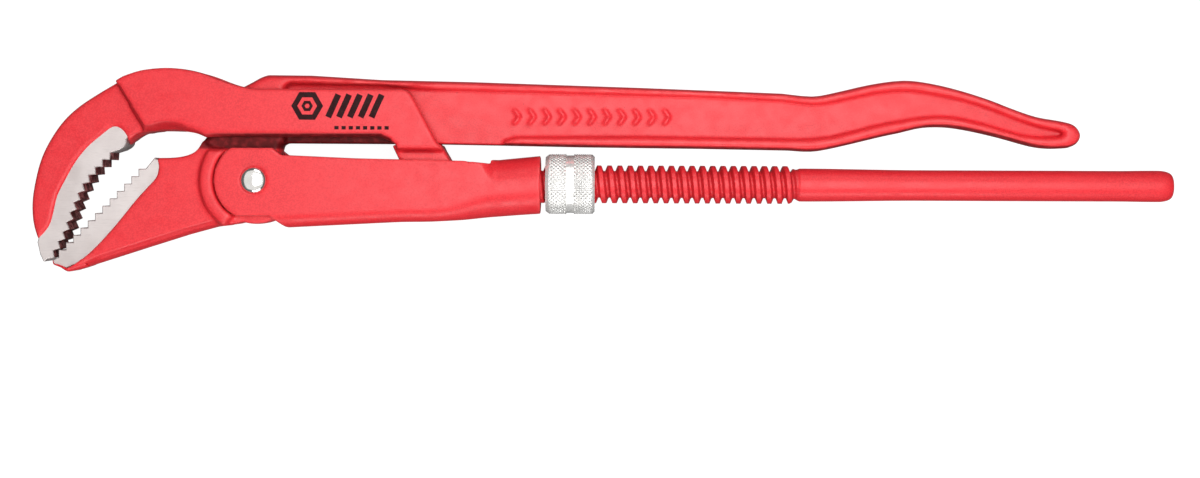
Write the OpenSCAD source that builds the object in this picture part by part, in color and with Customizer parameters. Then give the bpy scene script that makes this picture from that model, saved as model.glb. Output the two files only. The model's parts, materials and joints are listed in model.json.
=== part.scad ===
/* [Overall] */
// Distance from the pivot to the outermost point of the hook, along the rod
hook_reach = 64.7; // [64.6:0.1:65.4]
// Distance from the pivot to the end of the round handle
rod_end_x = 265.3; // [255.3:0.5:280.3]
// Highest point of the hook's back above the rod's axis
back_height = 33; // [32.8:0.1:33.6]
// Lowest point of the lower jaw below the rod's axis
jaw_drop = 25.9; // [25.7:0.1:27]

/* [Jaws] */
// Thickness of both jaws
jaw_thick = 12; // [11.8:0.1:14]
// Thickness of the bare toothed edges, a little less than the jaws
teeth_thick = 10.8; // [9:0.1:11]
// Distance between teeth
tooth_pitch = 3; // [2.6:0.1:3.2]
// Depth of a tooth
tooth_depth = 1.5; // [1:0.1:1.6]

/* [Hook leg] */
// Thickness of the forked bar over both cheeks
bar_thick = 18; // [16:0.5:20]
// Width of the slot that the other leg passes through
slot_w = 10.6; // [10.4:0.1:11.4]
// Width of the narrow part of the slot, at the foot of the fork
web_slot_w = 5.2; // [4.8:0.1:6]
// Where the slot starts, left of the pivot
slot_start = 21; // [20:0.5:24]
// Thickness of the tail inside the sleeve
tail_thick = 11.6; // [10:0.1:11.8]

/* [Jaw leg] */
// Thickness of the neck and of the handle's rails
rail_thick = 10; // [9:0.1:10.2]
// Thickness of the handle's web
web_thick = 4.4; // [3:0.1:4.6]
// Radius of the round boss between the sleeve's ears
boss_r = 12.7; // [12:0.1:13]
// Thickness of that boss
boss_thick = 11.7; // [11:0.1:11.8]
// Thickness over the raised shoulders that meet the ears
shoulder_thick = 16.8; // [16:0.1:17.6]

/* [Sleeve and pivot] */
// Height of the pivot above the rod's axis
pivot_y = 0.8; // [0:0.1:1]
// Inner width of the channel
channel_w = 12; // [12:0.1:12.4]
// Thickness of the bent sheet
sheet = 2.4; // [2:0.1:2.6]
// Radius of the ears
ear_r = 11.4; // [11:0.1:11.6]
// Radius of the rivet's shank
rivet_r = 3; // [2.5:0.1:3.5]
// Radius of the rivet's domed heads
rivet_head_r = 3.8; // [3.6:0.1:4.5]
// Height of the rivet's domed heads
rivet_head_h = 2; // [1.5:0.1:2.5]
// Right end of the sleeve
sleeve_end_x = 82; // [81:0.5:83]

/* [Screw and nut] */
// Radius over the thread's crests
crest_r = 5.5; // [5.3:0.05:5.5]
// Radius at the thread's root
root_r = 3.9; // [3.6:0.1:4.2]
// Pitch of the thread
thread_pitch = 3; // [2.5:0.5:3]
// Radius of the plain round handle
rod_r = 4.45; // [4.2:0.05:4.6]
// Outer radius of the adjusting nut
nut_r = 8.75; // [8.4:0.05:8.9]
// Length of the adjusting nut
nut_len = 14.2; // [12:0.1:15]
// Running clearance on radius, for the rivet and the nut
running = 0.06; // [0.02:0.01:0.1]

/* [Hidden] */
$fn = 64;
red = [0.84, 0.17, 0.19];
steel = [0.82, 0.80, 0.78];
bright = [0.90, 0.90, 0.92];

centre_x = (rod_end_x - hook_reach) / 2;
centre_y = (back_height - jaw_drop) / 2;
lift = channel_w / 2 + sheet + rivet_head_h;
pivot = [0, pivot_y];
ear_gap = 0.35;
shoulder_r = 15.8;
nut_x = sleeve_end_x + 1.5;
curl_x = 69;
narrow_x = 40.5;
weld_x = 56;
thread_start_x = 58;
thread_end_x = 155;

// A smooth curve through the given points, in straight steps
function curve(p, steps = 5) = concat(
    [for (i = [0 : len(p) - 2], k = [0 : steps - 1])
        let (t = k / steps,
             a = p[max(i - 1, 0)],
             b = p[i],
             c = p[i + 1],
             d = p[min(i + 2, len(p) - 1)])
        0.5 * (2 * b + (c - a) * t + (2 * a - 5 * b + 4 * c - d) * t * t
               + (3 * b - 3 * c + d - a) * t * t * t)],
    [p[len(p) - 1]]);

// A cubic curve from a to d, with its handles at b and c
function cubic(a, b, c, d, t) =
    a * pow(1 - t, 3) + 3 * b * t * pow(1 - t, 2) + 3 * c * t * t * (1 - t) + d * pow(t, 3);

// [length so far, t] along that cubic, to step along it evenly
function lengths(a, b, c, d, n = 80) =
    [for (i = 0, s = 0; i <= n;
          s = s + norm(cubic(a, b, c, d, (i + 1) / n) - cubic(a, b, c, d, i / n)), i = i + 1)
        [s, i / n]];

function flip(p) = [for (i = [len(p) - 1 : -1 : 0]) p[i]];
function unit(v) = v / norm(v);
function left_of(v) = [-v[1], v[0]];

// Teeth along a cubic: valleys lie on it and the points between them stand off to its left
function teeth(a, b, c, d) =
    let (table = lengths(a, b, c, d),
         whole = table[len(table) - 1][0],
         steps = 2 * round(whole / tooth_pitch))
    [for (i = [0 : steps])
        let (t = lookup(whole * i / steps, table),
             p = cubic(a, b, c, d, t),
             ahead = cubic(a, b, c, d, min(t + 0.01, 1)),
             behind = cubic(a, b, c, d, max(t - 0.01, 0)))
        i % 2 == 0 ? p : p + tooth_depth * left_of(unit(ahead - behind))];

hook_teeth_line = teeth([-41.8, 8.6], [-55.4, -3], [-51, -9.8], [-59.9, -22.1]);
jaw_teeth_line = flip(teeth([-56.6, -21.6], [-48.5, -13.3], [-40, -4.8], [-31.6, 4.0]));

// Where paint and bare steel meet on the hook, from the throat's end to the outer edge
hook_seam = curve([[-39.3, 9.4], [-37.6, 10.6], [-37.2, 12.4], [-38.6, 14.6], [-40.8, 15.5],
                   [-44.2, 13], [-48, 9.7], [-51.4, 5.4], [-54.2, 0.4], [-56.4, -4], [-57.4, -8.2],
                   [-58.5, -12.2], [-60.3, -14.9], [-62.7, -17.3]], 3);

// The same on the lower jaw, from the throat to the nose
jaw_seam = curve([[-29, 7.2], [-28, 5.2], [-28.6, 1.8], [-31, -1], [-34.6, -5], [-40.2, -12],
                  [-45.8, -18.2], [-50, -22], [-53.4, -24.3], [-55.6, -24.8]], 3);

hook_back = curve([[-62.7, -17.3], [-64.3, -12], [-hook_reach, -6], [-63.8, 0.5], [-62, 7.2],
                   [-59, 13.2], [-55.3, 18.3], [-50.9, 22.3], [-45.5, 25.9], [-39.8, 29.3]], 4);
arch_top = curve([[-37.6, 30.6], [-32.3, 32.3], [-25.5, back_height], [-19.3, 32.5], [-14, 31.2],
                  [-8.4, 29.1], [-3.5, 27.7], [0.5, 27.1], [4, 27.1]], 4);
arch_throat = curve([[-14, 13], [-16.5, 14.1], [-20, 14.7], [-25, 14.9], [-29, 14.8],
                     [-32, 14.3], [-35.2, 12.6], [-37.2, 10.6]], 3);
bar_end = [[42, 27.1], [43.6, 26.8], [45, 25.7], [52.8, 11.2], [40.9, 11.2], [36.2, 13.4]];

// Everything of the hook leg that is painted, seen from the front
module hook_outline() {
    polygon(concat(hook_back, arch_top, bar_end, [[-11.5, 13.2]], arch_throat,
                   [for (i = [3 : len(hook_seam) - 1]) hook_seam[i]]));
}

// The raised part of the hook leg: the arch and the two cheeks
module raised_outline() {
    intersection() {
        hook_outline();
        polygon(concat([[-40.7, 30.6], [-31.1, 15.2]],
                       curve([[-31.1, 15.2], [-28.2, 16.6], [-24.5, 17.1], [-21, 16.5],
                              [-17, 14.6], [-13.5, 13]], 3),
                       [[-13.5, 10], [60, 10], [60, 40], [-40.7, 40]]));
    }
}

module tail_outline() {
    polygon([[39.2, 11.2], [41.3, 6.9], [44.4, 0], [46.3, -4], [49, -5.3], [weld_x, -5.3],
             [weld_x, 6.8], [53.4, 11.2]]);
}

module hook_leg() {
    color(red) placed() difference() {
        union() {
            linear_extrude(jaw_thick, center = true) hook_outline();
            linear_extrude(bar_thick, center = true) raised_outline();
            linear_extrude(tail_thick, center = true) tail_outline();
            fork_foot();
        }
        // slot for the other leg
        translate([-slot_start, 13.2, -slot_w / 2]) cube([100, 40, slot_w]);
        translate([-slot_start, 11.05, -slot_w / 2]) cube([slot_start + narrow_x, 10, slot_w]);
        translate([30, 11.05, -web_slot_w / 2]) cube([60, 10, web_slot_w]);
        // weld end, turned down to the rod
        difference() {
            translate([weld_x - 4, -20, -20]) cube([10, 25.3, 40]);
            translate([weld_x - 5, 0, 0]) rotate([0, 90, 0]) cylinder(h = 12, r = 5.6);
        }
    }
}

// Sloping foot that carries the two cheeks down into the tail
module fork_foot() {
    intersection() {
        translate([40.9, 0, 0]) rotate([90, 0, 90]) linear_extrude(12.8)
            polygon([[9.2, -tail_thick / 2], [10.9, -bar_thick / 2 + 0.3], [11.6, -bar_thick / 2 + 0.3],
                     [11.6, bar_thick / 2 - 0.3], [10.9, bar_thick / 2 - 0.3], [9.2, tail_thick / 2]]);
        linear_extrude(bar_thick, center = true)
            polygon([[40.9, 12], [40.9, 8], [54.3, 8], [54.3, 8.6], [52.7, 11.4], [52.7, 12]]);
    }
}

module hook_teeth() {
    color(steel) placed() linear_extrude(teeth_thick, center = true)
        polygon(concat(hook_teeth_line, [[-60.9, -22.9], [-61.9, -20.8]], flip(hook_seam)));
}

jaw_lower_edge = [[-55.6, -24.8], [-55, -25.5], [-53.9, -jaw_drop], [-51, -25.1], [-46.5, -23.6],
                  [-31.4, -18.7], [-19.8, -15], [-11.8, -12.8]];
jaw_throat = curve([[-15.2, 12.6], [-16.3, 10.4], [-17.9, 8.8], [-20.9, 7.7], [-25, 7.2],
                    [-29, 7.2]], 4);

module jaw_plate_outline() {
    polygon(concat(jaw_lower_edge, [[-4, -11.7], [-4, 9], [-12, 10.2], [-13.6, 11.2]],
                   jaw_throat, jaw_seam));
}

module boss_outline() {
    intersection() {
        translate(pivot) circle(boss_r);
        translate([-20, -20]) square([30, 28]);
    }
}

module shoulder_outline() {
    intersection() {
        difference() {
            translate(pivot) circle(shoulder_r);
            translate(pivot) circle(ear_r + ear_gap);
        }
        polygon([[-30, 9.4], [-9, 9.4], [0, pivot_y], [-6.4, -9.8], [-9, -13], [-30, -19.6]]);
    }
}

rail_top = concat(
    curve([[-4.2, 27.8], [-1.5, 29.2], [1, 30.6], [3, 31.3]], 3),
    [[15.7, 31.2], [36, 30], [62, 29.5], [111, 28], [136, 27.1]],
    curve([[152, 26.5], [160.7, 25.7], [167.6, 26.9], [177.6, 29.2], [187, 30.4], [194.8, 29.6],
           [203.4, 27.6], [212, 24.9], [218.2, 22.5], [225.6, 20], [232.6, 18.8], [236.6, 17.6],
           [238.4, 14.8], [237.2, 12.2], [234.6, 11]], 3));
rail_bottom = concat(
    curve([[234.6, 11], [229.5, 10.8], [224, 11.5], [215.2, 13.9], [206.4, 15.9], [199.3, 16.9],
           [192.5, 16.7], [186, 15.2], [180, 13.9], [167.6, 10.9], [160.7, 9.7], [154, 10]], 3),
    [[128, 10.4], [94.6, 10.7], [71, 11.1], [50, 11.4], [8.7, 11.5], [7.5, 10.9]]);
neck_left = [[6.8, 8], [6, 0], [-8, 0], [-12, 9], [-15.2, 12.6], [-11.6, 18], [-7.6, 23.6]];

// The neck and the whole handle, seen from the front
module handle_outline() {
    polygon(concat(rail_top, rail_bottom, neck_left));
}

// The hollow on each side of the handle's web
module web_hollow_outline() {
    polygon(concat(
        [[8.7, 8], [8.7, 27.4], [9.6, 28.4], [36, 28], [48, 27], [128, 25.1]],
        curve([[152, 24], [160.5, 23], [167.5, 23.9], [178, 26.2], [187.6, 27.1], [196, 26],
               [204, 24.4], [212, 21.9], [220, 18.8], [227, 16.7], [231.5, 15.8], [232.6, 15],
               [231, 14.4], [227, 14.3], [221, 14.9], [209.4, 18.2], [201, 20], [194, 20.1],
               [186, 18.9], [177.6, 17.2], [166, 14.2], [157, 13.4]], 2),
        [[110.7, 14], [75, 13.8], [71.5, 12.8], [70.5, 11], [70.5, 8]]));
}

module jaw_leg() {
    color(red) placed() difference() {
        union() {
            linear_extrude(jaw_thick, center = true) jaw_plate_outline();
            linear_extrude(shoulder_thick, center = true) shoulder_outline();
            linear_extrude(boss_thick, center = true) boss_outline();
            linear_extrude(rail_thick, center = true) handle_outline();
        }
        for (side = [0, 1])
            mirror([0, 0, side]) translate([0, 0, web_thick / 2])
                linear_extrude(20) web_hollow_outline();
        // room for the ears
        for (side = [0, 1])
            mirror([0, 0, side]) translate([0, pivot_y, boss_thick / 2]) {
                cylinder(h = 10, r = ear_r + ear_gap);
                translate([0, -30, 0]) cube([30, 60, 10]);
            }
        translate([0, pivot_y, -20]) cylinder(h = 40, r = rivet_r + running);
    }
}

module jaw_teeth() {
    color(steel) placed() linear_extrude(teeth_thick, center = true)
        polygon(concat(flip(jaw_seam), jaw_teeth_line, [[-58.3, -22.5], [-58.2, -23.8]]));
}

ear_top = 10.1;
ear_bottom = -9.4;
channel_tilt = 3;

// The sleeve's side walls, seen from the front
module sleeve_outline() {
    union() {
        intersection() {
            translate(pivot) circle(ear_r);
            translate([-20, ear_bottom]) square([22, ear_top - ear_bottom]);
        }
        polygon([[0, ear_top], [5.2, ear_top], [7.8, 8.1], [29, 7.2], [60, 6.6], [70, 5.6],
                 [70, -10.2], [48, -11.1], [9.6, -12.8], [7.2, -11.2],
                 [4.3, ear_bottom], [0, ear_bottom]]);
    }
}

module sleeve() {
    outer_w = channel_w + 2 * sheet;
    bend_r = 4.5;
    color(red) placed() difference() {
        union() {
            intersection() {
                linear_extrude(outer_w, center = true) sleeve_outline();
                // rounded bends along the channel's floor
                translate([9.6, -12.8, 0]) rotate([0, 0, channel_tilt]) union() {
                    translate([-40, bend_r, -outer_w / 2]) cube([140, 40, outer_w]);
                    translate([-40, 0, -outer_w / 2 + bend_r]) cube([140, 9, outer_w - 2 * bend_r]);
                    for (side = [-1, 1])
                        translate([-40, bend_r, side * (outer_w / 2 - bend_r)])
                            rotate([0, 90, 0]) cylinder(h = 140, r = bend_r);
                }
            }
            // closed end that the nut turns against
            intersection() {
                translate([sleeve_end_x, -0.15, 0]) rotate([0, 90, channel_tilt])
                    translate([0, 0, -20]) cylinder(h = 30, r = outer_w / 2 + 0.05);
                translate([curl_x, -20, -20]) cube([sleeve_end_x - curl_x, 40, 40]);
            }
        }
        // open inside of the channel
        translate([9.6, -12.8 + sheet, 0]) rotate([0, 0, channel_tilt])
            translate([-60, 0, -channel_w / 2]) cube([curl_x + 50.6, 60, channel_w]);
        translate([-40, 0, 0]) rotate([0, 90, 0]) cylinder(h = 200, r = channel_w / 2);
        translate([0, pivot_y, -20]) cylinder(h = 40, r = rivet_r);
    }
}

module pivot_rivet() {
    ear_z = channel_w / 2 + sheet;
    dome_r = (rivet_head_r * rivet_head_r + rivet_head_h * rivet_head_h) / (2 * rivet_head_h);
    color(bright) placed() translate([0, pivot_y, 0]) union() {
        cylinder(h = 2 * ear_z, r = rivet_r, center = true);
        for (side = [0, 1])
            mirror([0, 0, side]) intersection() {
                translate([0, 0, ear_z + rivet_head_h - dome_r]) sphere(dome_r);
                translate([0, 0, ear_z]) cylinder(h = 9, r = rivet_head_r);
            }
    }
}

// One turn of the thread, drawn as a ridge: [distance along the rod, radius]
function ridge(x) = [[x, root_r], [x + 0.75, crest_r], [x + 1.65, crest_r], [x + 2.4, root_r]];

module threaded_handle() {
    turns = floor((thread_end_x - thread_start_x) / thread_pitch);
    color(red) placed() rotate([0, 90, 0]) rotate_extrude()
        polygon(concat(
            [[0, weld_x], [5, weld_x], [5, thread_start_x - 0.5]],
            [for (i = [0 : turns - 1]) for (p = ridge(thread_start_x + i * thread_pitch)) [p[1], p[0]]],
            [[root_r, thread_end_x - 0.6], [rod_r + 0.4, thread_end_x + 0.6], [rod_r + 0.3, 170],
             [rod_r, 193], [rod_r, rod_end_x - 15], [rod_r + 0.1, rod_end_x - 5],
             [rod_r + 0.1, rod_end_x - 2], [rod_r - 0.4, rod_end_x - 0.6],
             [rod_r - 1.6, rod_end_x], [0, rod_end_x]]));
}

module adjusting_nut() {
    bore_r = crest_r + running;
    groove_x = 5.9;
    groove_w = 2.4;
    groove_deep = 0.4;
    bevel = 0.8;
    color(bright) placed() translate([nut_x, 0, 0]) rotate([0, 90, 0]) rotate_extrude()
        polygon([[bore_r, 0], [nut_r - bevel - 0.6, 0], [nut_r - bevel, 0.5], [nut_r, 1.4],
                 [nut_r, groove_x], [nut_r - groove_deep, groove_x],
                 [nut_r - groove_deep, groove_x + groove_w], [nut_r, groove_x + groove_w],
                 [nut_r, nut_len - bevel], [nut_r - bevel, nut_len], [bore_r, nut_len]]);
}

// Puts a piece drawn about the rod's axis into the part's own frame
module placed() {
    translate([-centre_x, -centre_y, lift]) children();
}

jaw_leg();
jaw_teeth();
sleeve();
pivot_rivet();
hook_leg();
hook_teeth();
threaded_handle();
adjusting_nut();
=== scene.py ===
import json
import math

import bpy
import numpy as np
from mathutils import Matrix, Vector


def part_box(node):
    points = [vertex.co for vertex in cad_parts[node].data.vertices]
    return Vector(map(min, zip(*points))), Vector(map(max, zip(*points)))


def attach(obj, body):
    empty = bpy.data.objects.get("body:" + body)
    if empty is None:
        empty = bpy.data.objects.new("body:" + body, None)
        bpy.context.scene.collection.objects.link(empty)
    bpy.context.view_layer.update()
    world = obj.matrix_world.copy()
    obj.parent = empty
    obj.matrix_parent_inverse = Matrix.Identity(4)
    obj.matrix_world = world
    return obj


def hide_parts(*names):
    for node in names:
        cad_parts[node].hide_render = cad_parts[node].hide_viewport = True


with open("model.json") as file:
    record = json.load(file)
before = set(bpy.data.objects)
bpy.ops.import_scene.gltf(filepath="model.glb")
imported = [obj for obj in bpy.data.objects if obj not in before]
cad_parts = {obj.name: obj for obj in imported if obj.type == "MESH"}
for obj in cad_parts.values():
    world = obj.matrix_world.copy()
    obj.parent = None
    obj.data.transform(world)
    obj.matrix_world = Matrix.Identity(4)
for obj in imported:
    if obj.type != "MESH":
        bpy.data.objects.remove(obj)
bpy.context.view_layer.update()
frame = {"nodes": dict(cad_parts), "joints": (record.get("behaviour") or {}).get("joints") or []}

MM = 0.001
JOINTS = {joint["name"]: joint for joint in frame["joints"]}
PIVOT = JOINTS["leg_pivot"]["pos_m"]
SCREW = JOINTS["nut_spin"]["pos_m"]
# Tool coordinates, in millimetres: x from the pivot, y from the rod's axis, z from the mid-plane
ORIGIN = np.array([PIVOT[0], SCREW[1], SCREW[2]])
PIVOT_Y = (PIVOT[1] - SCREW[1]) / MM
# Edges of the painted forgings that turn by more than this many degrees are shaded as sharp
FORGING_SHARP = 35


def node_box(name):
    """Lowest and highest corner of a CAD node, in tool coordinates."""
    low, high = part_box(name)
    return (np.array(low) - ORIGIN) / MM, (np.array(high) - ORIGIN) / MM


# ---------------------------------------------------------------- outlines of the CAD nodes


def node_mesh(name):
    """Points and triangles of a CAD node, in tool coordinates."""
    mesh = frame["nodes"][name].data
    mesh.calc_loop_triangles()
    points = np.zeros(len(mesh.vertices) * 3, np.float32)
    mesh.vertices.foreach_get("co", points)
    triangles = np.zeros(len(mesh.loop_triangles) * 3, np.int32)
    mesh.loop_triangles.foreach_get("vertices", triangles)
    return (points.reshape(-1, 3) - ORIGIN) / MM, triangles.reshape(-1, 3)


def section(name, z):
    """Straight pieces of the line where a CAD node is cut at height z."""
    points, triangles = node_mesh(name)
    a = points[triangles]
    b = np.roll(a, -1, axis=1)
    crosses = (a[:, :, 2] > z) != (b[:, :, 2] > z)
    rise = np.where(crosses, b[:, :, 2] - a[:, :, 2], 1)
    share = (z - a[:, :, 2]) / rise
    hits = a[:, :, :2] + share[:, :, None] * (b - a)[:, :, :2]
    return hits[crosses].reshape(-1, 2, 2)


def distance_2d(segments, x, y):
    """Signed distance from every (x, y) to a closed outline, negative inside it."""
    x = x[:, None].astype(np.float32)
    y = y[None, :].astype(np.float32)
    nearest = np.full((x.shape[0], y.shape[1]), 1e9, np.float32)
    inside = np.zeros(nearest.shape, bool)
    for (ax, ay), (bx, by) in segments.astype(np.float32):
        dx = bx - ax
        dy = by - ay
        length2 = dx * dx + dy * dy
        if length2 < 1e-10:
            continue
        t = np.clip(((x - ax) * dx + (y - ay) * dy) / length2, 0, 1)
        np.minimum(nearest, (x - ax - t * dx) ** 2 + (y - ay - t * dy) ** 2, out=nearest)
        if dy:
            inside ^= ((ay > y) != (by > y)) & (x < ax + (y - ay) * dx / dy)
    return np.sqrt(nearest) * np.where(inside, -1, 1).astype(np.float32)


# ---------------------------------------------------------------- solids from distance fields


def smoothstep(low, high, value):
    """0 at low, 1 at high, and a smooth S between them; low may be the greater."""
    t = np.clip((value - low) / (high - low), 0, 1)
    return t * t * (3 - 2 * t)


def mix(a, b, t):
    """a where t is 0, b where t is 1."""
    return a + (b - a) * t


def both(a, b, radius=0.0):
    """What lies in both fields, with a rounded edge where they meet."""
    if radius == 0:
        return np.maximum(a, b)
    corner = np.hypot(np.maximum(a + radius, 0), np.maximum(b + radius, 0))
    return np.minimum(np.maximum(a, b), -radius) + corner


def soften(field, cells):
    """Blurs a field, which fills its inner corners and rounds its edges but keeps flat faces."""
    reach = int(math.ceil(2.6 * cells))
    taps = np.exp(-0.5 * (np.arange(-reach, reach + 1) / cells) ** 2)
    taps = (taps / taps.sum()).astype(np.float32)
    for axis in range(3):
        along = np.moveaxis(field, axis, 0)
        padded = np.concatenate([along[:1]] * reach + [along] + [along[-1:]] * reach)
        blurred = np.zeros_like(along)
        for k, tap in enumerate(taps):
            blurred += tap * padded[k:k + len(along)]
        field = np.moveaxis(blurred, 0, axis)
    return np.ascontiguousarray(field)


class Grid:
    """A block of evenly spaced points around a box."""

    def __init__(self, low, high, step):
        self.step = step
        self.axes = [np.arange(a - 3 * step, b + 3.5 * step, step) for a, b in zip(low, high)]
        self.x, self.y, self.z = self.axes
        self.height = np.abs(self.z)[None, None, :].astype(np.float32)

    def outline(self, name, z):
        """Signed distance to a CAD node's outline at height z, for every column of the grid."""
        return distance_2d(section(name, z), self.x, self.y)

    def slab(self, outline, half, radius, draft=0.0, draft_from=0.0):
        """An outline given a thickness on both sides, with drafted walls and rounded edges."""
        lean = draft if np.isscalar(draft) else draft[:, :, None]
        wall = outline[:, :, None] + lean * np.maximum(self.height - draft_from, 0)
        return both(wall, self.height - half, radius)

    def sample(self, values, points):
        """Values between the grid's points, by straight interpolation."""
        index = [(points[:, k] - self.axes[k][0]) / self.step for k in range(3)]
        index = [np.clip(i, 0, values.shape[k] - 1.001) for k, i in enumerate(index)]
        base = [i.astype(int) for i in index]
        part = [i - b for i, b in zip(index, base)]
        total = 0
        for corner in range(8):
            bits = [(corner >> k) & 1 for k in range(3)]
            weight = 1
            for k in range(3):
                weight = weight * (part[k] if bits[k] else 1 - part[k])
            total = total + weight * values[tuple(base[k] + bits[k] for k in range(3))]
        return total

    def surface(self, field):
        """The mesh where a field is zero: a point in each mixed cell, a quad round each crossed edge."""
        inside = field < 0
        count = np.zeros([n - 1 for n in field.shape], np.int8)
        corners = [(a, b, c) for a in (0, 1) for b in (0, 1) for c in (0, 1)]
        for a, b, c in corners:
            count += inside[a:a + count.shape[0], b:b + count.shape[1], c:c + count.shape[2]]
        cells = np.stack(np.nonzero((count > 0) & (count < 8)), axis=1)
        number = np.full(count.shape, -1, np.int32)
        number[tuple(cells.T)] = np.arange(len(cells))

        total = np.zeros((len(cells), 3))
        hits = np.zeros(len(cells))
        for start in corners:
            for axis in range(3):
                if start[axis]:
                    continue
                end = list(start)
                end[axis] = 1
                f0 = field[tuple((cells + start).T)]
                f1 = field[tuple((cells + end).T)]
                crossed = (f0 < 0) != (f1 < 0)
                share = np.where(crossed, f0 / np.where(crossed, f0 - f1, 1), 0)
                where = np.array(start) + share[:, None] * (np.array(end) - np.array(start))
                total += np.where(crossed[:, None], where, 0)
                hits += crossed
        points = (cells + total / hits[:, None]) * self.step + [axis[0] for axis in self.axes]

        quads = []
        for axis in range(3):
            u, v = (axis + 1) % 3, (axis + 2) % 3
            near = np.moveaxis(inside, axis, 0)
            changed = np.moveaxis(near[:-1] != near[1:], 0, axis)
            edges = np.stack(np.nonzero(changed), axis=1)
            edges = edges[(edges[:, u] > 0) & (edges[:, v] > 0)]
            edges = edges[(edges[:, u] < count.shape[u]) & (edges[:, v] < count.shape[v])]
            step_u = np.eye(3, dtype=int)[u]
            step_v = np.eye(3, dtype=int)[v]
            ring = [edges - step_u - step_v, edges - step_v, edges, edges - step_u]
            quad = np.stack([number[tuple(cell.T)] for cell in ring], axis=1)
            leaving = inside[tuple(edges.T)]
            quads.append(np.where(leaving[:, None], quad, quad[:, ::-1]))
        return points, np.concatenate(quads)


def settle(grid, field, points, rounds=3):
    """Moves points onto the field's zero surface along its slope."""
    slopes = np.gradient(field, grid.step)
    for _ in range(rounds):
        slope = np.stack([grid.sample(s, points) for s in slopes], axis=1)
        value = grid.sample(field, points)
        step = value / np.maximum((slope ** 2).sum(1), 0.05)
        points = points - np.clip(step, -grid.step, grid.step)[:, None] * slope
    return points


# ---------------------------------------------------------------- Blender objects


def make_piece(name, points, faces, material, sharp_deg=35):
    """A mesh object from points in tool coordinates."""
    mesh = bpy.data.meshes.new(name)
    if isinstance(faces, np.ndarray):
        faces = faces.tolist()
    mesh.from_pydata((np.asarray(points) * MM + ORIGIN).tolist(), [], faces)
    mesh.validate()
    mesh.polygons.foreach_set("use_smooth", [True] * len(mesh.polygons))
    piece = bpy.data.objects.new(name, mesh)
    bpy.context.scene.collection.objects.link(piece)
    mesh.materials.append(material)
    mesh.set_sharp_from_angle(angle=math.radians(sharp_deg))
    return piece


def decimated(piece, ratio):
    """Replaces a piece's mesh by one with fewer faces where it is flat."""
    modifier = piece.modifiers.new("fewer", "DECIMATE")
    modifier.ratio = ratio
    graph = bpy.context.evaluated_depsgraph_get()
    mesh = bpy.data.meshes.new_from_object(piece.evaluated_get(graph))
    piece.modifiers.clear()
    old = piece.data
    piece.data = mesh
    bpy.data.meshes.remove(old)
    mesh.name = piece.name


def coordinates(mesh):
    """A mesh's points, in tool coordinates."""
    points = np.zeros(len(mesh.vertices) * 3)
    mesh.vertices.foreach_get("co", points)
    return (points.reshape(-1, 3) - ORIGIN) / MM


def store(piece, name, values):
    """Keeps one number for each point of a piece, for its material to read."""
    attribute = piece.data.attributes.new(name, "FLOAT", "POINT")
    attribute.data.foreach_set("value", np.asarray(values).astype(np.float32))


def forge(name, grid, field, faces_kept):
    """A painted piece from a distance field, with its curvature stored for the paint: lighter on edges (thin
    paint and a painted highlight), painted shade in hollows.
    """
    field = field.astype(np.float32)
    points, quads = grid.surface(field)
    points = settle(grid, field, points)
    piece = make_piece(name, points, quads, PAINT, FORGING_SHARP)
    triangles = 2 * len(quads)
    decimated(piece, faces_kept / triangles)
    piece.data.set_sharp_from_angle(angle=math.radians(FORGING_SHARP))
    smooth = soften(field, 1.2)
    curvature = 0
    for axis in range(3):
        slope = np.gradient(smooth, grid.step, axis=axis)
        curvature = curvature + np.gradient(slope, grid.step, axis=axis)
    store(piece, "bend", grid.sample(curvature, coordinates(piece.data)))
    return piece


def add_grease_and_shade(piece, amount_at):
    """Stores how much grease and painted shade darken the paint: amount_at takes the points and their
    normals.
    """
    mesh = piece.data
    facing = np.zeros(len(mesh.vertices) * 3, np.float32)
    mesh.vertex_normals.foreach_get("vector", facing)
    store(piece, "grease_and_shade", amount_at(coordinates(mesh), facing.reshape(-1, 3)))


def finish_piece(piece, body, node):
    """Lets a piece ride on its body in the place of a CAD node, which it hides."""
    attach(piece, body)
    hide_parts(node)


def stroke(points, width, closed=False):
    """The two edges of a line drawn with a broad pen, mitred at its bends."""
    points = np.array(points, float)
    before = np.roll(points, 1, axis=0)
    after = np.roll(points, -1, axis=0)
    if not closed:
        before[0] = 2 * points[0] - points[1]
        after[-1] = 2 * points[-1] - points[-2]
    come = (points - before) / np.linalg.norm(points - before, axis=1)[:, None]
    leave = (after - points) / np.linalg.norm(after - points, axis=1)[:, None]
    side = np.stack([-(come + leave)[:, 1], (come + leave)[:, 0]], axis=1)
    across = np.stack([-come[:, 1], come[:, 0]], axis=1)
    side /= (side * across).sum(1)[:, None]
    return points + side * width / 2, points - side * width / 2


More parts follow.
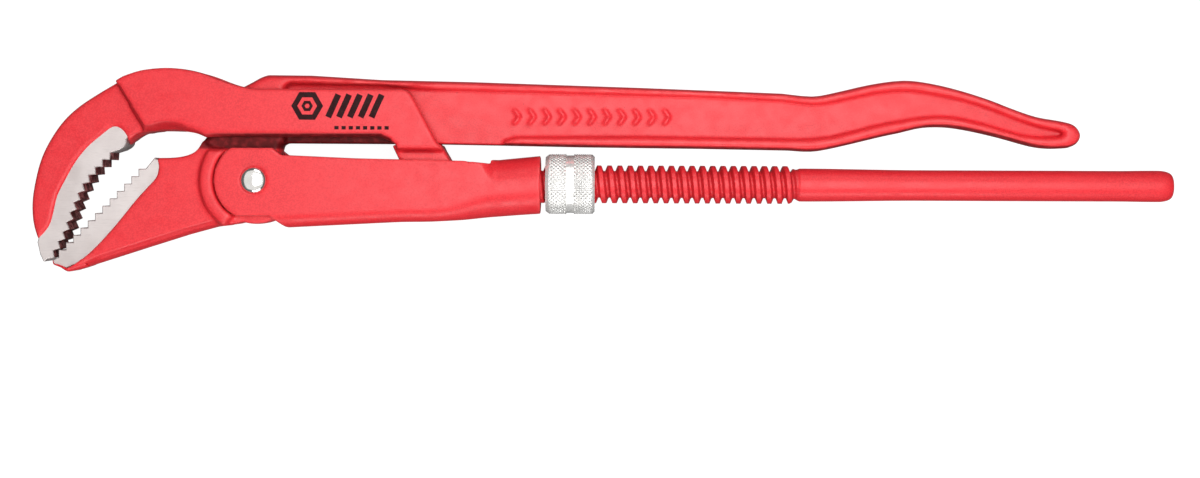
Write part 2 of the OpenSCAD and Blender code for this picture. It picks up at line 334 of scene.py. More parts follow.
def printed_mark():
    """A plain printed emblem on the bar's face: a hexagon, slanted stripes and a dotted line."""
    low = 8.9
    high = 9.04
    centre_x = 15.4
    centre_y = 22.1
    strokes = []
    for radius, width in ((3.7, 1.5), (1.2, 0.8)):
        turns = np.arange(6) * math.pi / 3
        ring = [(centre_x + radius * math.cos(a), centre_y + radius * math.sin(a)) for a in turns]
        strokes.append((ring, width, True))
    for stripe in range(5):
        foot = 21.4 + 3.1 * stripe
        strokes.append(([(foot, 18.9), (foot + 2.9, 25.4)], 1.75, False))
    for dash in range(8):
        start = 23.2 + 2.05 * dash
        strokes.append(([(start, 15.9), (start + 1.2, 15.9)], 1.0, False))
    vertices = []
    faces = []
    for points, width, closed in strokes:
        left, right = stroke(points, width, closed)
        n = len(left)
        first = len(vertices)
        for z in (low, high):
            for edge in (left, right):
                vertices += [(*p, z) for p in edge]
        # a and b are the left and right edges below, c and d the same edges on top
        a, b, c, d = [first + row * n for row in range(4)]
        for i in range(n if closed else n - 1):
            j = (i + 1) % n
            faces += [(a + i, a + j, b + j, b + i), (c + j, c + i, d + i, d + j)]
            faces += [(a + j, a + i, c + i, c + j), (b + i, b + j, d + j, d + i)]
        if not closed:
            last = n - 1
            faces.append([a, b, d, c])
            faces.append([c + last, d + last, b + last, a + last])
    piece = make_piece("printed_mark", vertices, faces, INK)
    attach(piece, "hook_leg")


# ---------------------------------------------------------------- materials


# Places of the colour sockets on Blender's Mix node, whose names repeat for each data type
MIX_COLOUR_A = 6
MIX_COLOUR_B = 7
MIX_COLOUR_OUT = 2


class Nodes:
    """A material's node tree, with short ways to add and join nodes."""

    def __init__(self, name):
        self.material = bpy.data.materials.new(name)
        self.material.use_nodes = True
        self.tree = self.material.node_tree
        self.shader = self.tree.nodes["Principled BSDF"]
        self.place = self.add("ShaderNodeTexCoord").outputs["Object"]

    def add(self, kind, **settings):
        node = self.tree.nodes.new(kind)
        for key, value in settings.items():
            setattr(node, key, value)
        return node

    def join(self, source, target):
        self.tree.links.new(source, target)

    def set(self, **values):
        """Constant values on the shader's own sockets."""
        for key, value in values.items():
            self.shader.inputs[key.replace("_", " ")].default_value = value

    def noise(self, scale, detail=3.0, roughness=0.5, stretch=(1, 1, 1), turn=0.0):
        place = self.place
        if stretch != (1, 1, 1) or turn:
            mapping = self.add("ShaderNodeMapping")
            mapping.inputs["Rotation"].default_value = (0, 0, turn)
            mapping.inputs["Scale"].default_value = stretch
            self.join(self.place, mapping.inputs["Vector"])
            place = mapping.outputs["Vector"]
        node = self.add("ShaderNodeTexNoise")
        node.inputs["Scale"].default_value = scale
        node.inputs["Detail"].default_value = detail
        node.inputs["Roughness"].default_value = roughness
        self.join(place, node.inputs["Vector"])
        return node.outputs["Fac"]

    def attribute(self, name):
        return self.add("ShaderNodeAttribute", attribute_name=name).outputs["Fac"]

    def math(self, operation, a, b=0.0):
        node = self.add("ShaderNodeMath", operation=operation)
        for value, socket in zip((a, b), node.inputs):
            if isinstance(value, bpy.types.NodeSocket):
                self.join(value, socket)
            else:
                socket.default_value = value
        return node.outputs[0]

    def ramp(self, value, low, high, to_low=0.0, to_high=1.0):
        """A smooth step of value from low to high, mapped onto to_low to to_high."""
        node = self.add("ShaderNodeMapRange", interpolation_type="SMOOTHSTEP")
        for key, number in (("From Min", low), ("From Max", high), ("To Min", to_low), ("To Max", to_high)):
            node.inputs[key].default_value = number
        self.join(value, node.inputs["Value"])
        return node.outputs["Result"]

    def blend(self, share, a, b):
        """Colour a where share is 0, b where it is 1; each is a socket or three numbers."""
        node = self.add("ShaderNodeMix", data_type="RGBA")
        self.join(share, node.inputs["Factor"])
        for value, key in ((a, MIX_COLOUR_A), (b, MIX_COLOUR_B)):
            if isinstance(value, bpy.types.NodeSocket):
                self.join(value, node.inputs[key])
            else:
                node.inputs[key].default_value = (*value, 1)
        return node.outputs[MIX_COLOUR_OUT]

    def bump(self, height, strength, distance_mm, under=None):
        node = self.add("ShaderNodeBump")
        node.inputs["Strength"].default_value = strength
        node.inputs["Distance"].default_value = distance_mm * MM
        self.join(height, node.inputs["Height"])
        if under is not None:
            self.join(under, node.inputs["Normal"])
        return node.outputs["Normal"]


def red_paint():
    """Satin red enamel over a forging, read with the stored curvature (bend) and the stored grease and
    painted shade.
    """
    n = Nodes("red_paint")
    # colour: clouds, fine grain, mottling, lighter edges (thin paint and a painted highlight), painted shade
    # in hollows, grease and painted shade, specks
    clouds = n.ramp(n.noise(55, 4), 0.30, 0.72)
    base = n.blend(clouds, (0.74, 0.023, 0.033), (0.69, 0.019, 0.029))
    grain = n.ramp(n.noise(2300, 2, 0.5), 0.36, 0.64)
    base = n.blend(grain, base, (0.81, 0.033, 0.043))
    mottle = n.ramp(n.noise(700, 4, 0.6), 0.50, 0.78, 0, 0.30)
    base = n.blend(mottle, base, (0.58, 0.012, 0.022))
    bend = n.attribute("bend")
    patchy = n.ramp(n.noise(260, 4), 0.35, 0.65, 0.25, 1.0)
    # lighter paint on convex edges, in patches: partly thin paint, partly a painted highlight
    worn = n.math("MULTIPLY", n.ramp(bend, 0.35, 1.3), patchy)
    base = n.blend(n.math("MULTIPLY", worn, 0.55), base, (0.88, 0.085, 0.09))
    # painted shade: darker paint in concave hollows and inner corners
    hollow = n.ramp(bend, -0.25, -1.1)
    base = n.blend(n.math("MULTIPLY", hollow, 0.6), base, (0.42, 0.004, 0.012))
    uneven = n.ramp(n.noise(500, 4), 0.2, 0.6, 0.75, 1.0)
    # grease and painted shade: the paint goes near black, with less shine, where the piece stores it
    grease_and_shade = n.math("MULTIPLY", n.attribute("grease_and_shade"), uneven)
    base = n.blend(grease_and_shade, base, (0.034, 0.006, 0.006))
    n.join(n.ramp(grease_and_shade, 0, 1, 0.30, 0.05), n.shader.inputs["Specular IOR Level"])
    specks = n.ramp(n.noise(900, 2), 0.73, 0.80)
    base = n.blend(n.math("MULTIPLY", specks, 0.5), base, (0.33, 0.01, 0.015))
    n.join(base, n.shader.inputs["Base Color"])
    n.join(n.ramp(n.noise(300, 4), 0.3, 0.7, 0.30, 0.46), n.shader.inputs["Roughness"])
    # relief: long waves of the forged skin under the orange peel
    waves = n.bump(n.noise(150, 3), 0.14, 0.10)
    peel = n.bump(n.noise(2100, 3, 0.6), 0.55, 0.05, waves)
    n.join(peel, n.shader.inputs["Normal"])
    return n.material


def ground_steel(turn):
    """Bare steel, ground flat: fine straight scratches, warm grey, faint stains."""
    n = Nodes("ground_steel")
    scratches = n.noise(2600, 4, 0.6, stretch=(0.10, 1, 1), turn=turn)
    clouds = n.ramp(n.noise(90, 4), 0.30, 0.75)
    base = n.blend(clouds, (0.57, 0.52, 0.51), (0.46, 0.41, 0.40))
    base = n.blend(n.ramp(scratches, 0.5, 0.8, 0, 0.35), base, (0.32, 0.28, 0.27))
    n.join(base, n.shader.inputs["Base Color"])
    n.join(n.ramp(scratches, 0.3, 0.7, 0.36, 0.52), n.shader.inputs["Roughness"])
    n.join(n.bump(scratches, 0.20, 0.008), n.shader.inputs["Normal"])
    n.set(Metallic=0.55)
    return n.material


def tooth_flank():
    """Flanks of the teeth: dark brownish red with lighter red patches, a painted shade and a painted
    reflection of the red paint around them.
    """
    n = Nodes("tooth_flank")
    # the dark colour is painted shade, the red patches a painted reflection of the red paint
    red_patches = n.ramp(n.noise(420, 4, 0.6), 0.42, 0.60)
    base = n.blend(red_patches, (0.12, 0.016, 0.016), (0.48, 0.17, 0.17))
    n.join(base, n.shader.inputs["Base Color"])
    n.join(n.ramp(n.noise(700, 4), 0.3, 0.7, 0.35, 0.6), n.shader.inputs["Roughness"])
    n.join(n.bump(n.noise(900, 4), 0.4, 0.04), n.shader.inputs["Normal"])
    n.set(Metallic=0.2, Specular_IOR_Level=0.15)
    return n.material


def plating(name, roughness, metallic):
    """Bright plating with faint haze, fine turning marks, and dark painted shade where the piece stores it.
    """
    n = Nodes(name)
    haze = n.ramp(n.noise(400, 4), 0.35, 0.7)
    bright = n.blend(haze, (0.95, 0.94, 0.92), (0.86, 0.85, 0.83))
    # painted shade in the knurl's cuts, as the nut stores it
    painted_knurl_shade = n.math("MINIMUM", n.attribute("painted_knurl_shade"), 1.0)
    base = n.blend(painted_knurl_shade, bright, (0.035, 0.03, 0.03))
    n.join(base, n.shader.inputs["Base Color"])
    n.join(n.ramp(n.noise(900, 3), 0.3, 0.7, roughness, roughness + 0.10), n.shader.inputs["Roughness"])
    turning_marks = n.noise(1600, 3, stretch=(1, 0.3, 0.3))
    n.join(n.bump(turning_marks, 0.12, 0.01), n.shader.inputs["Normal"])
    n.set(Metallic=metallic)
    return n.material


def printing_ink():
    """Dark printed mark, slightly worn."""
    n = Nodes("printing_ink")
    worn = n.ramp(n.noise(1300, 4, 0.7), 0.55, 0.72)
    base = n.blend(n.math("MULTIPLY", worn, 0.35), (0.020, 0.003, 0.004), (0.16, 0.008, 0.012))
    n.join(base, n.shader.inputs["Base Color"])
    n.join(n.ramp(n.noise(800, 3), 0.3, 0.7, 0.55, 0.75), n.shader.inputs["Roughness"])
    n.set(Specular_IOR_Level=0.12)
    return n.material


PAINT = red_paint()
HOOK_STEEL = ground_steel(math.radians(60))
JAW_STEEL = ground_steel(math.radians(46))
FLANK = tooth_flank()
KNURL = plating("knurled_plating", 0.20, 0.50)
DOME = plating("polished_plating", 0.08, 1.0)
INK = printing_ink()


# ---------------------------------------------------------------- the forged legs


def hook_leg():
    """Hook, arch, forked bar and tail: a drop forging with drafted walls and rounded edges."""
    low, high = node_box("hook_leg")
    grid = Grid(low, high, 0.36)
    x = grid.x[:, None]
    y = grid.y[None, :]
    plate_top = 6.0
    bar_top = high[2]
    # outlines at the plate's skin, near the bar's top, at the web's slot and at the neck's slot
    full = grid.outline("hook_leg", 5.65)
    raised = grid.outline("hook_leg", 7.5)
    narrow = grid.outline("hook_leg", 0.13)
    wide = grid.outline("hook_leg", 4.1)

    # flat hook: steep at its edges, cut short where the raised bar takes over
    plate_end = 36
    plate = grid.slab(both(full, x - plate_end), plate_top, 1.1, 0.10, 1.0)
    # the bar's lower edge is set back behind a steep slope
    low_side = smoothstep(0.3, 0.8, -np.gradient(full, grid.step, axis=1))
    low_side = low_side * (x > -36) * (x < 39.5) * (y < 22)
    set_back = mix(1.35, 0.8, smoothstep(-24, -14, x))
    raised = np.maximum(raised, full + low_side * set_back)
    # arch and cheeks: a long slope down to the plate and the throat, a steep wall at the outer edge
    ledge = smoothstep(-0.5, -1.6, full) * smoothstep(22, 14, x)
    facing_down = smoothstep(0.5, 0.85, -np.gradient(raised, grid.step, axis=1))
    slope = mix(0.05, mix(0.28, 0.62, facing_down), ledge)
    slope = np.maximum(slope, 0.42 * low_side)[:, :, None]
    below_top = np.maximum(grid.height, plate_top - 0.8) - bar_top
    sloped_wall = raised[:, :, None] + slope * below_top + 0.5 * ledge[:, :, None]
    outer_wall = full[:, :, None] + 0.05 * np.maximum(grid.height - plate_top, 0)
    bar = both(np.maximum(sloped_wall, outer_wall), grid.height - bar_top, 0.6)
    # tail in the channel, and the foot that slopes down to it from the bar
    tail = grid.slab(both(full, 38 - x), 5.7, 0.7)
    foot_slope = 1.7
    foot_top = 5.8 + (y[:, :, None] - 9.2) * foot_slope
    foot = both(both(full, 40.9 - x)[:, :, None], grid.height - np.minimum(foot_top, bar_top - 0.3), 0.5)
    field = np.minimum(np.minimum(plate, bar), np.minimum(tail, foot))
    field = soften(field, 0.75)
    # the outline stays as the CAD has it, and the two slots of the fork are cut through
    neck_slot_half = 5.3
    web_slot_half = 2.6
    field = np.maximum(field, full[:, :, None])
    field = np.maximum(field, np.minimum(neck_slot_half - grid.height, wide[:, :, None]))
    field = np.maximum(field, np.minimum(web_slot_half - grid.height, narrow[:, :, None]))
    piece = forge("hook_forging", grid, field, 120000)

    def under_bar(p, facing):
        """Painted shade on the wall under the bar, and a little on the step between plate and arch."""
        wall = smoothstep(0.25, 0.75, -facing[:, 1]) * (p[:, 1] > 5) * (p[:, 1] < 22) * (np.abs(p[:, 2]) > 3)
        along = smoothstep(-37, -34, p[:, 0]) * smoothstep(41, 39, p[:, 0])
        amount = mix(0.30, 0.88, smoothstep(-20, -4, p[:, 0]))
        step = smoothstep(0.3, 0.7, -facing[:, 0]) * (p[:, 0] > -47) * (p[:, 0] < -29) * (p[:, 1] > 5)
        step = step * smoothstep(5.7, 6.3, np.abs(p[:, 2]))
        return np.maximum(wall * along * amount, 0.38 * step)

    add_grease_and_shade(piece, under_bar)
    finish_piece(piece, "hook_leg", "hook_leg")


def web_motif(grid):
    """Field of a row of raised chevrons on both faces of the handle's web."""
    x = grid.x[:, None]
    y = grid.y[None, :]
    count = 11
    first = 75.0
    last = 118.4
    middle = 19.5
    arm = 2.3
    top = 3.05
    pitch = (last - first) / (count - 1)
    nearest = first + np.clip(np.round((x - first) / pitch), 0, count - 1) * pitch
    rise = np.abs(y - middle)
    chevron = np.maximum(np.abs(x - nearest - 0.9 + 0.75 * rise) * 0.8 - 0.55, rise - arm)
    return np.maximum(chevron[:, :, None] + 0.15 * (grid.height - 2.2), grid.height - top)


def jaw_leg():
    """Lower jaw, shoulders, neck and the wavy handle with its hollow sides: one forging."""
    low, high = node_box("jaw_leg")
    grid = Grid(low, high, 0.42)
    x = grid.x[:, None]
    y = grid.y[None, :]
    everything = grid.outline("jaw_leg", 0.13)
    rails = grid.outline("jaw_leg", 3.6)
    jaw = grid.outline("jaw_leg", 5.4)
    shoulders = grid.outline("jaw_leg", 7.2)

    web = grid.slab(everything, 2.2, 0.3)
    rail = grid.slab(rails, 5.0, 1.2, 0.22, 1.6)
    # the jaw's lower edge has a wide drafted band, its other edges are steep
    fall = np.gradient(jaw, grid.step, axis=1)
    band = smoothstep(0.35, 0.85, -fall) * (x < -11) * (y < 4)
    jaw_plate = grid.slab(mix(jaw, everything, band), 6.0, 0.4, mix(0.05, 0.60, band), 2.5)
    shoulder = grid.slab(shoulders - 0.4, high[2], 0.25, 0.35, 6.0)
    field = np.minimum(np.minimum(web, rail), np.minimum(jaw_plate, shoulder))
    field = np.minimum(field, web_motif(grid))
    field = soften(field, 0.85)
    field = np.maximum(field, everything[:, :, None])

    # room for the ears on both sides of the boss, and the bore for the rivet
    boss_half = 5.85
    ear_room = np.hypot(x, y - PIVOT_Y) - 11.95
    ear_room = np.minimum(ear_room, both(-x, np.abs(y) - 30))
    field = np.maximum(field, np.minimum(grid.height - boss_half, -ear_room[:, :, None]))
    bore = 3.06 - np.hypot(x, y - PIVOT_Y)
    field = np.maximum(field, bore[:, :, None])
    piece = forge("jaw_forging", grid, field, 150000)

    lower_edge = np.where(everything < 0, grid.y, 99).min(axis=1)

    def neck_and_lower_edge(p, facing):
        """Bare dark steel and painted shade on the neck between the bar and the ears, and painted shade along
        the handle's lower edge.
        """
        across = smoothstep(9.4, 10.2, p[:, 1]) * smoothstep(14.5, 13.8, p[:, 1])
        neck = across * smoothstep(-17.5, -14.5, p[:, 0]) * smoothstep(42, 38, p[:, 0])
        edge = smoothstep(0.4, 0.9, -facing[:, 1]) * smoothstep(40, 44, p[:, 0])
        edge *= smoothstep(1.6, 1.0, p[:, 1] - np.interp(p[:, 0], grid.x, lower_edge))
        edge *= smoothstep(4.6, 3.6, np.abs(p[:, 2]))
        return np.maximum(0.90 * neck, 0.75 * edge)

    add_grease_and_shade(piece, neck_and_lower_edge)
    finish_piece(piece, "jaw_leg", "jaw_leg")


def sleeve():
    """Bent sheet channel with two ears, curling round into a closed ring at its right end."""
    low, high = node_box("sleeve")
    grid = Grid(low, high, 0.36)
    x = grid.x[:, None, None]
    y = grid.y[None, :, None]
    z = grid.height
    sides = grid.outline("sleeve", 7.2)
    half = high[2]
    sheet = 2.4
    # the floor rises gently to the right, dips before the curl and ends up level with the ring
    tilt = math.tan(math.radians(3))
    floor = -12.8 + (x - 9.6) * tilt
    curl = smoothstep(52, 69, x)
    floor = floor - 0.35 * smoothstep(40, 52, x) * smoothstep(68, 58, x) + 0.35 * smoothstep(62, 82, x)
    ring_top = 7.0 + (x - 69) * 0.1
    # half the height of the tube: open and tall for the channel, closed for the ring
    tall = mix(16.0, (ring_top - floor) / 2, smoothstep(58, 70, x))
    radius = mix(4.5, half - 0.15, curl)

    def tube(inset):
        """A tube with rounded corners, moved inwards by inset."""
        corner = np.maximum(radius - inset, 0.4)
        beside = z - (half - inset)
        above = np.abs(y - floor - tall) - (tall - inset)
        round_part = np.hypot(np.maximum(beside + corner, 0), np.maximum(above + corner, 0))
        return np.maximum(round_part - corner, np.minimum(np.maximum(beside, above), -corner))

    outer = tube(0)
    inner = tube(sheet)
    # below the ears the floor starts at a slanted end; the ring starts at a slanted edge on top
    floor_end = (np.interp(x[:, 0], [4.3, 9.6], [-9.4, -13.4])[:, :, None] - y) * 0.84
    trim = np.where((x < 4) | (y > -4), sides[:, :, None], floor_end)
    ring_start = 67.7
    trim = np.minimum(trim, ring_start - x)
    trim = np.where(x > 61, np.maximum(trim, y - ring_top), trim)
    shell = both(outer, trim, 0.5)
    shell = both(shell, x - high[0], 0.35)
    # a shallow dimple round each end of the rivet
    dimple = np.sqrt(x ** 2 + (y - PIVOT_Y) ** 2 + (z - half - 5.2) ** 2)
    shell = np.maximum(shell, 6.6 - dimple)
    piece = forge("sleeve_channel", grid, np.maximum(shell, -inner), 90000)
    finish_piece(piece, "sleeve", "sleeve")


# ---------------------------------------------------------------- toothed edges


def loops_of(segments):
    """The closed loops that an outline's pieces form, as lists of points."""
    keys = [tuple(tuple(np.round(end, 3)) for end in piece) for piece in segments]
    links = {}
    for a, b in keys:
        if a != b:
            links.setdefault(a, []).append(b)
            links.setdefault(b, []).append(a)
    loops = []
    left = set(links)
    while left:
        start = min(left)
        loop = [start]
        left.discard(start)
        while True:
            following = [p for p in links[loop[-1]] if p in left]
            if not following:
                break
            loop.append(following[0])
            left.discard(following[0])
        loops.append(loop)
    return loops


def straightened(loop, tolerance=0.004):
    """A loop without the points that lie on a straight run."""
    points = [np.array(p) for p in loop]
    kept = []
    for i, p in enumerate(points):
        before = points[i - 1]
        along = points[(i + 1) % len(points)] - before
        area = abs(along[0] * (p - before)[1] - along[1] * (p - before)[0])
        if area / max(np.hypot(*along), 1e-9) > tolerance:
            kept.append(p)
    return kept


def strip_loop(node):
    """Corner points of a toothed edge's outline, in order."""
    return np.array(straightened(max(loops_of(section(node, 0.13)), key=len)))


def distance_at(segments, places):
    """Signed distance from each of a list of places to an outline."""
    return np.array([distance_2d(segments, p[:1], p[1:])[0, 0] for p in places])


def directions(steps):
    """Steps scaled to length one."""
    return steps / np.linalg.norm(steps, axis=1)[:, None]


def tooth_strip(name, node, forging, steel, bare_end=None):
    """A toothed edge: sharp milled teeth with fine bevels, running a little way under the paint."""
    half = node_box(node)[1][2]
    points = strip_loop(node)
    area = 0.5 * np.sum(points[:, 0] * np.roll(points[:, 1], -1) - np.roll(points[:, 0], -1) * points[:, 1])
    if area < 0:
        points = points[::-1]
    ahead = directions(np.roll(points, -1, axis=0) - points)
    outward = np.stack([ahead[:, 1], -ahead[:, 0]], axis=1)
    back = np.roll(outward, 1, axis=0)
    corner = outward + back
    corner /= np.maximum((corner * outward).sum(1), 0.35)[:, None]
    smooth = (outward * back).sum(1) > 0.8

    # where the outline is the seam with the forging, the steel runs on under the paint
    under_paint = 1.2
    seam = section(forging, 5.65)
    on_seam = np.abs(distance_at(seam, points)) < 0.05
    covered = distance_at(seam, points + corner * under_paint) < -0.6
    # the bare lower end is set back a little behind the rim that wraps round it
    at_end = np.zeros(len(points), bool)
    if bare_end:
        at_end = (points[:, 0] < bare_end[0]) & (points[:, 1] < bare_end[1])
    under = on_seam & smooth & ~at_end & covered
    set_back = 0.30 * at_end * smoothstep(-22.4, -23.6, points[:, 1])
    points = points + corner * (under_paint * under)[:, None]
    points = points - corner * set_back[:, None]

    bevel = 0.22
    rings = []
    for z, inset in ((-half, bevel), (-half + bevel, 0), (half - bevel, 0), (half, bevel)):
        ring = points - corner * inset
        rings.append(np.column_stack([ring, np.full(len(ring), z)]))
    n = len(points)
    faces = [list(range(n - 1, -1, -1)), [3 * n + i for i in range(n)]]
    for level in range(3):
        for i in range(n):
            j = (i + 1) % n
            faces.append([level * n + i, level * n + j, (level + 1) * n + j, (level + 1) * n + i])
    piece = make_piece(name, np.concatenate(rings), faces, steel, 20)
    piece.data.materials.append(FLANK)
    # only walls between two sharp corners are milled teeth; the rest is ground like the sides
    toothed = ~smooth & ~np.roll(smooth, -1)
    flank = [0, 0] + [int(level == 1 and toothed[i]) for level in range(3) for i in range(n)]
    piece.data.polygons.foreach_set("material_index", flank)
    finish_piece(piece, forging, node)


def room_outside(places, away, outline):
    """How far each place can move away before it leaves an outline, in small steps."""
    step = 0.05
    most = 3.0
    room = []
    for place, way in zip(places, away):
        reach = 0.0
        while reach < most and distance_at(outline, [place + way * (reach + step)])[0] <= 0:
            reach += step
        room.append(reach)
    return np.array(room)


def averaged(values, rounds):
    """Values smoothed along their row, with both ends held."""
    values = values.copy()
    for _ in range(rounds):
        values[1:-1] = (values[:-2] + 2 * values[1:-1] + values[2:]) / 4
    return values


def nose_rim():
    """The thin painted lip of the jaw that wraps round the lower end of its toothed edge."""
    loop = strip_loop("jaw_teeth")
    at_nose = (loop[:, 1] < -21.9) & (loop[:, 0] < -49.9)
    start = int(np.argmax(at_nose & ~np.roll(at_nose, 1)))
    nose = np.roll(loop, -start, axis=0)[:int(at_nose.sum())]
    if nose[0, 0] > nose[-1, 0]:
        nose = nose[::-1]
    # a path of even steps from the tip of the nose to the forging
    length = np.concatenate([[0], np.cumsum(np.linalg.norm(np.diff(nose, axis=0), axis=1))])
    along = np.linspace(0, length[-1], 48)
    path = np.column_stack([np.interp(along, length, nose[:, k]) for k in range(2)])
    path = averaged(path, 3)
    ahead = directions(np.gradient(path, axis=0))
    inward = np.column_stack([-ahead[:, 1], ahead[:, 0]])
    # the lip reaches out to the jaw's own outline, and in over the steel until it meets the forging
    beyond = averaged(room_outside(path, -inward, section("jaw_leg", 0.13)), 6)
    cover = mix(0.15, 0.75, smoothstep(0, 3.0, along))
    cover = mix(cover, -0.15, smoothstep(0.3, 1.3, beyond))
    # the lip's rounded slope: share of the way from its outer to its inner edge, and height
    profile = [(1.0, 5.75), (0.9, 5.88), (0.6, 5.75), (0.3, 5.35), (0.08, 4.8), (0.0, 4.4)]
    profile += [(across, -z) for across, z in profile[::-1]]
    points = []
    for across, z in profile:
        place = path + inward * mix(-beyond, cover, across)[:, None]
        points.append(np.column_stack([place, np.full(len(path), z)]))
    count = len(path)
    rows = len(profile)
    faces = []
    for level in range(rows):
        above = (level + 1) % rows
        for i in range(count - 1):
            faces.append([level * count + i, level * count + i + 1, above * count + i + 1, above * count + i])
    faces.append([level * count for level in range(rows)])
    faces.append([level * count + count - 1 for level in reversed(range(rows))])
    piece = make_piece("nose_rim", np.concatenate(points), faces, PAINT, 50)
    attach(piece, "jaw_leg")


# ---------------------------------------------------------------- turned pieces


def lathe(rows, columns, radius_at):
    """Points, quads and their numbers for rows of (x, base radius) that radius_at shapes round the axis."""
    angles = np.arange(columns) * 2 * math.pi / columns
    points = []
    for x, radius in rows:
        r = radius_at(x, radius, angles)
        points.append(np.column_stack([np.full(columns, x), r * np.cos(angles), r * np.sin(angles)]))
    index = np.arange(len(rows) * columns).reshape(len(rows), columns)
    here = index[:-1]
    there = index[1:]
    quads = np.stack([here, there, np.roll(there, -1, 1), np.roll(here, -1, 1)], axis=2).reshape(-1, 4)
    return np.concatenate(points), quads, index


def threaded_handle():
    """The rod: a rolled right-hand thread that runs out into the plain handle, and a rounded end."""
    low, high = node_box("threaded_handle")
    crest = 5.5
    root = 3.9
    handle = 4.45
    inner_end = 4.9
    pitch = 3.0
    first = 58.0
    last = 155.6
    # a place where a crest faces along the mid-plane
    peak_x = 150.0

    def body_radius(x):
        if x < first:
            return inner_end
        run_out = float(smoothstep(155.2, 157.4, x))
        swell = 0.35 * float(smoothstep(192, 158, x))
        return mix(root, handle + swell, run_out)

    def radius_at(x, radius, angles):
        phase = (x - peak_x) / pitch - angles / (2 * math.pi)
        off = np.abs(phase - np.round(phase)) * pitch
        ridge = 1 - np.clip((off - 0.60) / 0.60, 0, 1)
        fade = float(smoothstep(first, first + 2, x) * (1 - smoothstep(last - 1.6, last + 1.2, x)))
        return radius + (crest - root) * ridge * fade

    end = high[0]
    upset = 0.1
    edge_length = 3.8
    edge_drop = 1.5
    xs = list(np.arange(low[0] + 0.2, first, 0.5)) + list(np.arange(first, 158, 0.15))
    xs += list(np.arange(158, end - 16, 3.0)) + list(np.arange(end - 16, end - 2, 1.0))
    rows = [(x, body_radius(x) + upset * float(smoothstep(end - 16, end - 6, x)))
            for x in xs if x < end - edge_length]
    for k in range(11):
        turn = math.radians(90 * k / 10)
        x = end - edge_length * (1 - math.sin(turn))
        rows.append((x, handle + upset - edge_drop * (1 - math.cos(turn))))
    points, quads, index = lathe(rows, 64, radius_at)
    faces = quads.tolist() + [index[0].tolist()[::-1], index[-1].tolist()]
    piece = make_piece("threaded_rod", points, faces, PAINT, 50)

    def between_ridges(p, facing):
        """A faint even darkening on the whole thread, and painted shade between its ridges."""
        deep = smoothstep(crest - 0.3, root + 0.2, np.hypot(p[:, 1], p[:, 2]))
        on_thread = smoothstep(last + 2.0, last, p[:, 0])
        return (0.24 * deep + 0.05) * on_thread

    add_grease_and_shade(piece, between_ridges)
    finish_piece(piece, "hook_leg", "threaded_handle")


def adjusting_nut():
    """Bright nut: two bands of diamond knurl, a polished groove between them, bevelled ends."""
    low, high = node_box("adjusting_nut")
    radius = (high[1] - low[1]) / 2
    start = low[0]
    end = high[0]
    bore = 5.56
    groove_start = start + 5.9
    groove_end = start + 8.3
    diamonds_around = 44
    columns = 8 * diamonds_around
    diamond_length = 1.22
    knurl_depth = 0.34
    groove_depth = 0.40

    def knurl(x, angles):
        """How far along each of the two crossing cuts a point lies, and where the knurled bands are."""
        band = smoothstep(start + 1.0, start + 1.5, x) * (1 - smoothstep(end - 1.0, end - 0.6, x))
        band *= smoothstep(0.0, 0.22, max(groove_start - x, x - groove_end))
        u = angles / (2 * math.pi) * diamonds_around
        v = (x - start) / diamond_length
        a = np.abs(2 * ((u + v) % 1) - 1)
        b = np.abs(2 * ((u - v) % 1) - 1)
        return a, b, float(band)

    def radius_at(x, base, angles):
        a, b, band = knurl(x, angles)
        return base - knurl_depth * band * np.maximum(a, b)

    def base_radius(x):
        left = radius - 1.1 * (1 - float(smoothstep(start - 0.6, start + 1.5, x)))
        right = radius - 0.8 * (1 - float(smoothstep(end + 0.1, end - 0.9, x)))
        in_groove = float(smoothstep(0.0, 0.12, min(x - groove_start, groove_end - x)))
        return min(left, right) - groove_depth * in_groove

    xs = np.arange(start, end + 1e-6, (end - start) / 118)
    rows = [(start, bore), (start, base_radius(start) - 0.4)]
    rows += [(x, base_radius(x)) for x in xs]
    rows += [(end, base_radius(end) - 0.4), (end, bore)]
    points, quads, index = lathe(rows, columns, radius_at)
    inner = np.stack([index[-1], index[0], np.roll(index[0], -1), np.roll(index[-1], -1)], axis=1)
    piece = make_piece("knurled_nut", points, np.concatenate([quads, inner]), KNURL, 25)

    angles = np.arange(columns) * 2 * math.pi / columns
    # painted shade in the knurl's cuts, darkest where two cuts cross
    painted_knurl_shade = []
    for x, _ in rows:
        a, b, band = knurl(x, angles)
        in_cuts = 0.15 * smoothstep(0.6, 1.0, np.maximum(a, b))
        where_cuts_cross = 0.8 * smoothstep(0.5, 0.8, np.minimum(a, b))
        painted_knurl_shade.append(band * (in_cuts + where_cuts_cross))
    store(piece, "painted_knurl_shade", np.concatenate(painted_knurl_shade))
    finish_piece(piece, "nut", "adjusting_nut")


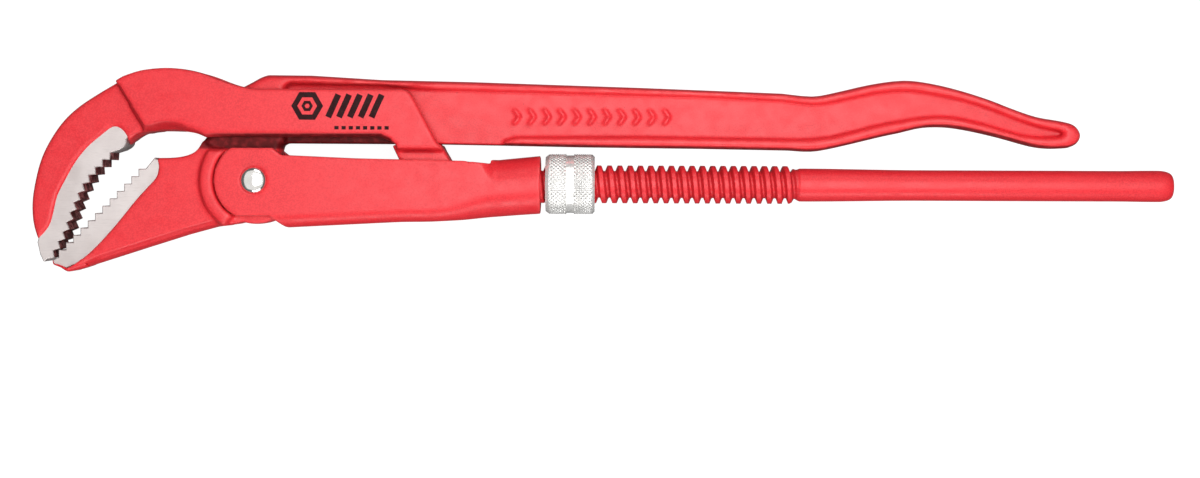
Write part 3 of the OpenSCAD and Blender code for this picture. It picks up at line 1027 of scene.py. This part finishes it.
def pivot_rivet():
    """Rivet with a polished, slightly flattened dome on each side."""
    low, high = node_box("pivot_rivet")
    ear = 8.4
    shank = 3.0
    head = (high[0] - low[0]) / 2
    top = high[2]
    edge = ear + 0.15
    upper = [(ear - 0.3, shank), (ear - 0.3, head - 0.3), (edge, head)]
    for k in range(1, 14):
        turn = math.radians(90 * k / 14)
        upper.append((edge + (top - edge) * math.sin(turn) ** 0.9, head * math.cos(turn)))
    rows = [(-z, r) for z, r in upper[::-1]] + upper
    columns = 72
    angles = np.arange(columns) * 2 * math.pi / columns
    points = []
    for z, r in rows:
        across = r * np.cos(angles)
        along = r * np.sin(angles) + PIVOT_Y
        points.append(np.column_stack([across, along, np.full(columns, z)]))
    points.append([[0, PIVOT_Y, -top], [0, PIVOT_Y, top]])
    index = np.arange(len(rows) * columns).reshape(len(rows), columns)
    here = index[:-1]
    there = index[1:]
    quads = np.stack([here, np.roll(here, -1, 1), np.roll(there, -1, 1), there], axis=2).reshape(-1, 4)
    faces = quads.tolist()
    pole = len(rows) * columns
    for i in range(columns):
        j = (i + 1) % columns
        faces.append([int(index[0, j]), int(index[0, i]), pole])
        faces.append([int(index[-1, i]), int(index[-1, j]), pole + 1])
    piece = make_piece("rivet_domes", np.concatenate(points), faces, DOME, 50)
    finish_piece(piece, "sleeve", "pivot_rivet")


# ---------------------------------------------------------------- the studio


def stage_sheet(name, reach, height, facing_up):
    """A flat square that isn't part of the object."""
    corners = [(x * reach, y * reach, height) for x, y in ((-1, -1), (1, -1), (1, 1), (-1, 1))]
    mesh = bpy.data.meshes.new(name)
    mesh.from_pydata(corners if facing_up else corners[::-1], [], [(0, 1, 2, 3)])
    sheet = bpy.data.objects.new(name, mesh)
    bpy.context.scene.collection.objects.link(sheet)
    return sheet


def studio():
    """White floor, a pale card overhead for the reflections, a weak sky and three soft lights."""
    floor = stage_sheet("floor", 3.0, 0, True)
    paper = Nodes("paper")
    paper.join(paper.blend(paper.noise(8, 2), (0.20, 0.20, 0.20), (0.19, 0.19, 0.19)),
               paper.shader.inputs["Base Color"])
    paper.set(Roughness=0.9, Specular_IOR_Level=0.05, Emission_Color=(1, 1, 1, 1), Emission_Strength=0.95)
    floor.data.materials.append(paper.material)
    floor.visible_diffuse = False
    floor.visible_glossy = False

    # the card shows only in reflections
    card = stage_sheet("sky_card", 1.5, 1.1, False)
    glow = Nodes("card_glow")
    glow.join(glow.blend(glow.noise(2, 2), (0.02, 0.02, 0.02), (0.03, 0.03, 0.03)),
              glow.shader.inputs["Base Color"])
    glow.set(Roughness=1.0, Emission_Color=(1, 0.99, 0.97, 1), Emission_Strength=0.80)
    card.data.materials.append(glow.material)
    card.visible_camera = False
    card.visible_diffuse = False
    card.visible_shadow = False

    world = bpy.data.worlds.new("studio")
    bpy.context.scene.world = world
    world.use_nodes = True
    background = world.node_tree.nodes["Background"]
    background.inputs["Color"].default_value = (1, 1, 1, 1)
    background.inputs["Strength"].default_value = 0.13

    soft_light("softbox", (0.065, 0.03, 0.56), (0.44, 0.55), 3.45)
    soft_light("key", (0.08, 0.55, 0.35), (0.4, 0.2), 0.8)
    soft_light("fill", (0.02, -0.60, 0.24), (0.5, 0.2), 1.9)


def soft_light(name, place, size, watts):
    """A rectangular area light aimed square at the x axis."""
    light = bpy.data.lights.new(name, "AREA")
    light.energy = watts
    light.shape = "RECTANGLE"
    light.size = size[0]
    light.size_y = size[1]
    lamp = bpy.data.objects.new(name, light)
    lamp.location = place
    aim = Vector((0.0, -place[1], -place[2]))
    lamp.rotation_euler = aim.to_track_quat("-Z", "Y").to_euler()
    bpy.context.scene.collection.objects.link(lamp)


def camera():
    """Straight down on the wrench, from a little over half a metre."""
    distance = 560 * MM
    # close to the middle of the wrench; the shift leaves empty space below it
    middle = 99.25 * MM
    data = bpy.data.cameras.new("camera")
    data.sensor_width = 36.0
    data.lens = 57.78
    data.shift_y = -0.0455833
    view = bpy.data.objects.new("camera", data)
    view.location = (ORIGIN[0] + middle, ORIGIN[1], ORIGIN[2] + distance)
    view.rotation_euler = (0, 0, math.radians(0.22))
    bpy.context.scene.collection.objects.link(view)
    bpy.context.scene.camera = view


hook_leg()
printed_mark()
jaw_leg()
sleeve()
tooth_strip("hook_tooth_edge", "hook_teeth", "hook_leg", HOOK_STEEL)
tooth_strip("jaw_tooth_edge", "jaw_teeth", "jaw_leg", JAW_STEEL, (-54.5, -22.0))
nose_rim()
threaded_handle()
adjusting_nut()
pivot_rivet()
studio()
camera()
bpy.context.scene.view_settings.view_transform = "Standard"
